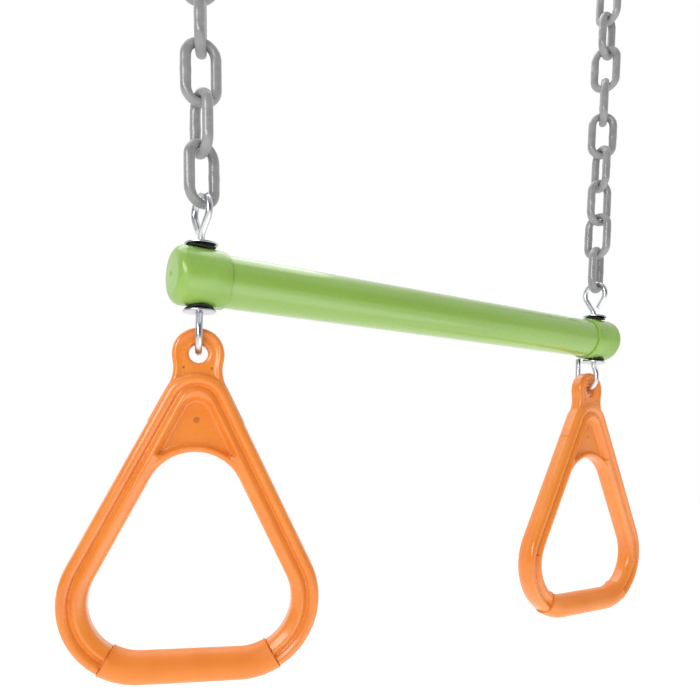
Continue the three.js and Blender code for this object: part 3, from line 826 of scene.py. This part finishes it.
# The colour goes to dark brown by that share, which paints shade into the pin dents. The bump presses them in
# as real dents.
plastic.surface(
    Base_Color=plastic.blend(
        (marks_and_pin_shade * 0.8).limited(),
        plastic.blend(plastic.ramp(cloud, 0.3, 0.7), colour("ec842b"), colour("f18f36")),
        colour("9a4c10"),
    ),
    Roughness=plastic.ramp(scuff, 0.3, 0.75) * 0.14 + 0.2,
    Normal=plastic.bump(grain * 0.1 + scuff * 0.04 - marks_and_pin_shade * 0.6, 0.4, 0.0006),
    Subsurface_Weight=0.06,
    Subsurface_Radius=(0.006, 0.002, 0.0006),
    Coat_Weight=0.45,
    Coat_Roughness=0.14,
)

ring_frame = {}
for label, side in SIDES.items():
    turn = Matrix.Rotation(HOOK_TURNS[label], 4, "Z")
    hole = rod_place[label] + turn @ Vector((0, HOOK_RADIUS - HOOK_SET, 0))
    hole.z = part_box(label + "_ring")[1].z - LUG * MM
    face = Matrix.Rotation(math.pi, 4, "Z") if side > 0 else Matrix.Identity(4)
    ring_frame[label] = Matrix.Translation(hole) @ turn @ face
    ring = mesh_piece(label + "_gym_ring", ring_points * MM, ring_faces)
    place = ring.data.attributes.new("ring_place", "FLOAT_VECTOR", "POINT")
    place.data.foreach_set("vector", ring_points.astype(np.float32).ravel())
    ring.data.transform(ring_frame[label])
    ring.data.materials.append(plastic.material)
    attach(ring, label + "_ring")
    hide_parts(label + "_ring")


# ---- the hand grips ----
# A softer sleeve is moulded over the bottom bar of each ring and round part of both corners. It stands a
# little proud of the leg, ends in a thin raised lip, and has a fine parting line along its upper front.

GRIP = 11.0
GRIP_BORE = 8.55
LIP = 0.35
LIP_LENGTH = 1.3
GRIP_SIDES = 64
GRIP_STEP = 1.5
GRIP_EDGE = 0.5  # rounding of its ends
PARTING_SIDE = 11
PARTING_DEPTH = 0.28
GRIP_TURN = math.radians(31.0)

wrap_length = BEND * GRIP_TURN
grip_length = 2 * (BEND_X + wrap_length)


def grip_spot(run):
    """Centre and outward direction at a distance along the grip, from its left end."""
    aside = run - grip_length / 2
    into_bend = abs(aside) - BEND_X
    if into_bend < 0:
        return Vector((aside, 0, BEND_Z - BEND)), Vector((0, 0, -1))
    side = math.copysign(1, aside)
    angle = side * into_bend / BEND - math.pi / 2
    outward = Vector((math.cos(angle), 0, math.sin(angle)))
    return Vector((side * BEND_X, 0, BEND_Z)) + BEND * outward, outward


steps = round((grip_length - 2 * LIP_LENGTH) / GRIP_STEP)
outer = [(run, GRIP) for run in evenly(LIP_LENGTH, grip_length - LIP_LENGTH, steps)]
lip_top = GRIP + LIP
lip_start = [(0.0, GRIP_BORE), (0.0, GRIP - GRIP_EDGE), (0.15, GRIP), (0.45, lip_top), (0.85, lip_top)]
lip_end = [(grip_length - run, radius) for run, radius in reversed(lip_start)]
inner = [(run, GRIP_BORE) for run, _ in reversed(outer)]
stations = lip_start + outer + lip_end + inner
grip_points = []
for run, radius in stations:
    centre, outward = grip_spot(run)
    for j in range(GRIP_SIDES):
        angle = 2 * math.pi * j / GRIP_SIDES
        parted = j == PARTING_SIDE and radius == GRIP
        r = radius - PARTING_DEPTH if parted else radius
        grip_points.append(centre - outward * r * math.cos(angle) - Vector((0, 1, 0)) * r * math.sin(angle))
grip_faces = []
for i in range(len(stations)):
    here, there = i * GRIP_SIDES, ((i + 1) % len(stations)) * GRIP_SIDES
    for j in range(GRIP_SIDES):
        k = (j + 1) % GRIP_SIDES
        grip_faces.append((here + j, here + k, there + k, there + j))

sleeve = Finish("orange_grip")
spot = sleeve.stored("ring_place", "Vector")
cloud = sleeve.noise(0.05, 4, spot=spot)
grain = sleeve.noise(2.4, 3, spot=spot)
hand = sleeve.noise(1.0, 4, (0.6, 0.12, 0.12), spot)
sleeve.surface(
    Base_Color=sleeve.blend(sleeve.ramp(cloud, 0.3, 0.7), colour("ea8229"), colour("f08c30")),
    Roughness=sleeve.ramp(hand, 0.3, 0.7) * 0.18 + 0.3,
    Normal=sleeve.bump(grain * 0.16 + hand * 0.2, 0.35, 0.0006),
    Subsurface_Weight=0.06,
    Subsurface_Radius=(0.006, 0.002, 0.0006),
)
for label in SIDES:
    grip = mesh_piece(label + "_hand_grip", [p * MM for p in grip_points], grip_faces)
    place = grip.data.attributes.new("ring_place", "FLOAT_VECTOR", "POINT")
    place.data.foreach_set("vector", [x for p in grip_points for x in p])
    grip.data.transform(ring_frame[label])
    shine_edges(grip, 60)
    grip.data.materials.append(sleeve.material)
    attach(grip, label + "_ring")
    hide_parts(label + "_ring_grip")


# ---- the chains ----
# Nine welded steel links on each side, dipped in glossy grey vinyl. Each link turns a little less than a
# quarter against the one below. The dip is thin and dull on the crowns, where links bear on each other.

LINK_PITCH = 33 * MM
LINK_CLEAR = 0.7 * MM
LINK_WIRE = 7.3 * MM
LINK_CROWN = 5.65 * MM
LINK_WIDTH = 27.2 * MM
LINK_COUNT = 9
LINK_FIRST_TURN = math.radians(18)
LINK_TURN = math.radians(76.5)
WELD_SWELL = 0.22 * MM
WELD_LENGTH = 2.2 * MM
WORN_FROM = 0.35  # up the round of a link, as a share of its radius
WORN_OVER = 0.5
CROWN_STEPS = 20
LEG_STEPS = 10

link_bend = (LINK_WIDTH - LINK_WIRE) / 2
link_straight = (LINK_PITCH + LINK_CLEAR + LINK_CROWN) / 2 - link_bend


def link_path():
    """Round the top from the right, down the left leg, round the bottom and up the right leg."""
    path = []
    for end, start in ((1, 0), (-1, 180)):
        path += arc((0, end * link_straight), link_bend, start, start + 180, CROWN_STEPS)
        leg = evenly(end * link_straight, -end * link_straight, LEG_STEPS)[1:-1]
        path += [(-end * link_bend, height) for height in leg]
    return [Vector((x, 0, z)) for x, z in path]


def link_section(centre):
    """Half widths of the wire there: pressed thin on the crowns, and swollen a little at the weld."""
    crown = max(0, abs(centre.z) - link_straight) / link_bend
    weld = WELD_SWELL * math.exp(-(centre.z / WELD_LENGTH) ** 2) if centre.x > 0 else 0
    return (LINK_WIRE + (LINK_CROWN - LINK_WIRE) * crown ** 2) / 2 + weld, LINK_WIRE / 2 + weld


def chain_line(label):
    """Middles of the chain's lowest and highest link, its direction, and the turn from upright to it."""
    foot, head = middle_of(label + "_link_1"), middle_of(f"{label}_link_{LINK_COUNT}")
    way = (head - foot).normalized()
    return foot, head, way, Matrix.Rotation(math.atan2(way.x, way.z), 4, "Y")


dip = Finish("grey_vinyl_dip")
rubbed = dip.stored("crown", "Fac")
orange_peel = dip.noise(420, 3)
patch = dip.noise(110, 4)
dip.surface(
    Base_Color=dip.blend(
        (dip.ramp(patch, 0.3, 0.75) + rubbed * 0.35).limited(), colour("868687"), colour("999999")
    ),
    Roughness=dip.ramp(patch, 0.3, 0.8) * 0.12 + 0.2 + rubbed * 0.2,
    Coat_Weight=(0.7 - rubbed * 0.5).limited(),
    Coat_Roughness=0.1,
    Normal=dip.bump(orange_peel * 0.6 + dip.noise(1300, 2) * rubbed * 0.5, 0.12, 0.0005),
)

for label in SIDES:
    foot, head, _, chain_lean = chain_line(label)
    for i in range(LINK_COUNT):
        link = wire(f"{label}_chain_link_{i + 1}", link_path(), LINK_WIRE / 2, 20, True, link_section)
        worn = link.data.attributes.new("crown", "FLOAT", "POINT")
        worn.data.foreach_set("value", [
            min(1, max(0, (abs(v.co.z) - link_straight) / link_bend - WORN_FROM) / WORN_OVER)
            for v in link.data.vertices
        ])
        turn = Matrix.Rotation(LINK_FIRST_TURN + i * LINK_TURN, 4, "Z")
        where = foot.lerp(head, i / (LINK_COUNT - 1))
        link.data.transform(Matrix.Translation(where) @ chain_lean @ turn)
        link.data.materials.append(dip.material)
        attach(link, f"{label}_link_{i + 1}")
        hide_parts(f"{label}_link_{i + 1}")


# ---- the snap clips ----
# A zinc-plated snap clip holds the top of each chain, and hangs it from a beam's hook. Each is one bent bar
# with a domed nose, and a gate of thin spring wire whose two ends sit in the bar below the mouth.

CLIP_WIRE = 3.5 * MM
CLIP_INSIDE = 58 * MM
CLIP_TOP = 14.5 * MM
CLIP_BOTTOM = 10.5 * MM
MOUTH = 25 * MM
MOUTH_FOOT = 13 * MM
GATE_WIRE = 1.15 * MM
GATE_DROP = 4 * MM
GATE_OVERLAP = 3.2 * MM
GATE_BEND = 1.8 * MM
GATE_GAP = 0.3 * MM
GATE_SEAT = 1.2 * MM  # from the middle of the bar to each end of the gate's wire

bottom_middle = CLIP_BOTTOM - CLIP_WIRE
top_middle = CLIP_INSIDE + CLIP_WIRE - CLIP_TOP
flare = math.asin((CLIP_TOP - CLIP_BOTTOM) / (top_middle - bottom_middle))


def clip_side(height):
    """How far the middle of the clip's side stands out there."""
    start = bottom_middle - CLIP_BOTTOM * math.sin(flare)
    return CLIP_BOTTOM * math.cos(flare) + (height - start) * math.tan(flare)


def clip_paths(side):
    """The bent bar from its nose round to the mouth's foot, and the gate's wire from end to end."""
    spread = math.degrees(flare)
    nose = MOUTH_FOOT + MOUTH
    body = [
        (clip_side(nose), nose),
        *arc((0, top_middle), CLIP_TOP, -spread, 180 + spread, 36),
        *arc((0, bottom_middle), CLIP_BOTTOM, 180 + spread, 360 - spread, 28),
        (clip_side(MOUTH_FOOT), MOUTH_FOOT),
    ]
    straddle = CLIP_WIRE + GATE_GAP + GATE_WIRE
    pivot, end = MOUTH_FOOT - GATE_DROP, nose + GATE_OVERLAP
    near, far = clip_side(pivot), clip_side(end) - straddle - GATE_GAP
    rise = end - pivot
    half_loop = [(GATE_SEAT, 0), (straddle, 0), (straddle, rise)]
    loop = half_loop + [(-y, z) for y, z in reversed(half_loop)]
    gate = [Vector((side * (near + (far - near) * z / rise), y, pivot + z)) for y, z in loop]
    return [Vector((side * u, 0, z)) for u, z in body], softened(gate, GATE_BEND)


for label, side in SIDES.items():
    _, head, way, chain_lean = chain_line(label)
    seat = head + way * (LINK_PITCH - LINK_CLEAR) / 2
    body_path, gate_path = clip_paths(side)
    for name, path, radius, sides, body, node in (
        ("_snap_clip", body_path, CLIP_WIRE, 24, "hangers", "_clip"),
        ("_spring_gate", gate_path, GATE_WIRE, 14, label + "_gate", "_clip_gate"),
    ):
        piece = wire(label + name, path, radius, sides)
        piece.data.transform(Matrix.Translation(seat) @ chain_lean)
        shine_edges(piece, 35)
        piece.data.materials.append(zinc.material)
        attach(piece, body)
        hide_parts(label + node)
